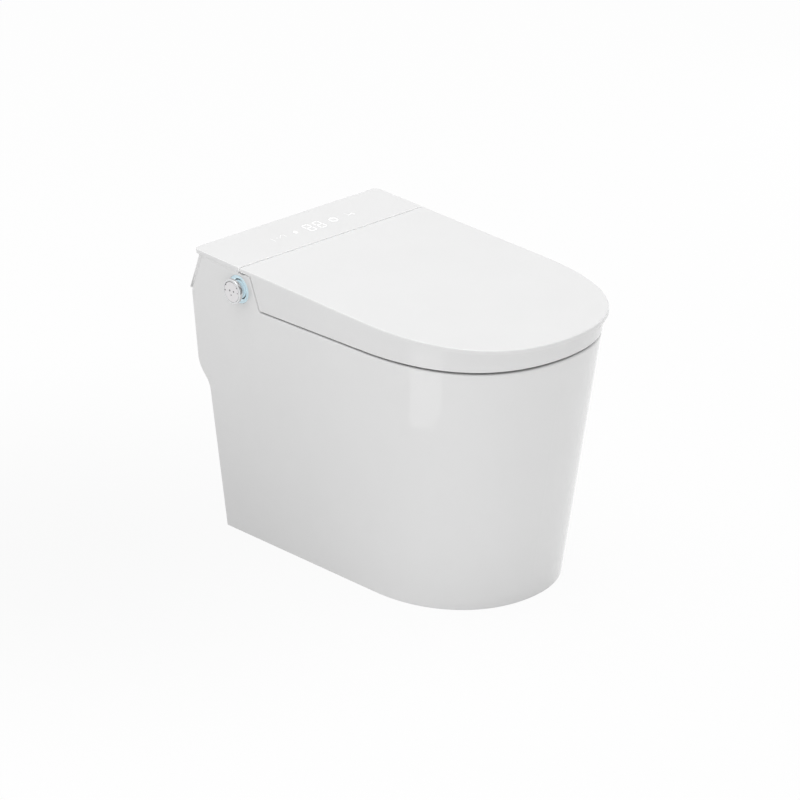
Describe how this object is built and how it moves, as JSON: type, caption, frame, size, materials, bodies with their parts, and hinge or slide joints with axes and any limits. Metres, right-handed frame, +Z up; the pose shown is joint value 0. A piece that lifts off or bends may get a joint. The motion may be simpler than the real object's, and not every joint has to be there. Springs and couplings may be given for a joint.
{
  "type": "smart toilet",
  "caption": "One-piece floor-standing smart toilet: china pan, flat lid over a heated seat, display cover, side knob, wash nozzle and dryer.",
  "frame": {"origin": "centre of the drain outlet on the floor; the wall stands at Y = 0.305 m", "axes": "+Z up, -Y to the front of the bowl, +X to the sitter's left; the side knob is on -X"},
  "size_m": [0.4044, 0.6725, 0.472],
  "materials": {
    "china": "high gloss white glaze",
    "lid_gloss": "smooth satin-gloss white moulding",
    "seat_gloss": "smooth white moulding",
    "housing": "white moulding",
    "back_plastic": "fine matt white moulding",
    "grey_plastic": "moulded grey",
    "black_plastic": "moulded black",
    "knob_metal": "satin chrome plating",
    "light": "translucent light guide",
    "rubber": "soft white rubber",
    "dark_rubber": "soft black rubber",
    "steel": "brushed",
    "brass": "machined",
    "board": "circuit board",
    "foil": "heating foil",
    "filter": "filter cartridge"
  },
  "bodies": {
    "root": {"ceramic_pan": "china", "ceramic_bowl": "china", "ceramic_trap": "china", "outlet_gasket": "dark_rubber", "seat_housing": "housing", "rear_cover": "lid_gloss", "cover_seal": "rubber", "rear_panel": "back_plastic", "knob_ring": "light", "knob_encoder": "black_plastic", "nozzle_guide": "grey_plastic", "dryer_duct": "grey_plastic", "blower_housing": "black_plastic", "display_board": "board", "control_box": "grey_plastic", "deodoriser": "filter", "night_light": "light", "heater_tank": "grey_plastic", "booster_pump": "black_plastic", "inlet_valve": "grey_plastic", "supply_hose": "steel", "water_inlet": "brass", "cable_gland": "dark_rubber"},
    "seat": {"seat_tray": "seat_gloss", "seat_top": "seat_gloss", "seat_heater": "foil", "seat_arm_left": "seat_gloss", "seat_arm_right": "seat_gloss", "seat_bumpers": "rubber"},
    "lid": {"lid_shell": "lid_gloss", "lid_bumpers": "rubber", "hinge_pins": "steel"},
    "dial": {"knob_dial": "knob_metal"},
    "button": {"knob_button": "knob_metal"},
    "wand": {"nozzle_wand": "steel", "nozzle_tip": "grey_plastic"},
    "flap": {"dryer_flap": "housing"},
    "impeller": {"blower_impeller": "black_plastic"}
  },
  "joints": [
    {"name": "seat_hinge", "type": "hinge", "parent": "root", "child": "seat", "pos_m": [0, 0.1765, 0.4675], "axis": [1, 0, 0], "range_deg": [-100, 0]},
    {"name": "lid_hinge", "type": "hinge", "parent": "seat", "child": "lid", "pos_m": [0, 0.1765, 0.4675], "axis": [-1, 0, 0], "range_deg": [0, 100]},
    {"name": "knob_turn", "type": "hinge", "parent": "root", "child": "dial", "pos_m": [-0.2, 0.1834, 0.4345], "axis": [-1, 0, 0], "range_deg": [-40, 40], "stiffness_Nm_per_rad": 0.05},
    {"name": "knob_press", "type": "slide", "parent": "dial", "child": "button", "axis": [1, 0, 0], "range_m": [0, 0.002], "stiffness_N_per_m": 400},
    {"name": "nozzle_slide", "type": "slide", "parent": "root", "child": "wand", "axis": [0, -0.9397, -0.342], "range_m": [0, 0.105]},
    {"name": "dryer_flap", "type": "hinge", "parent": "root", "child": "flap", "pos_m": [0.058, 0.11677, 0.41007], "axis": [-1, 0, 0], "range_deg": [0, 70]},
    {"name": "impeller_spin", "type": "hinge", "parent": "root", "child": "impeller", "pos_m": [0.08, 0.226, 0.42], "axis": [0, 0, 1], "continuous": true}
  ]
}
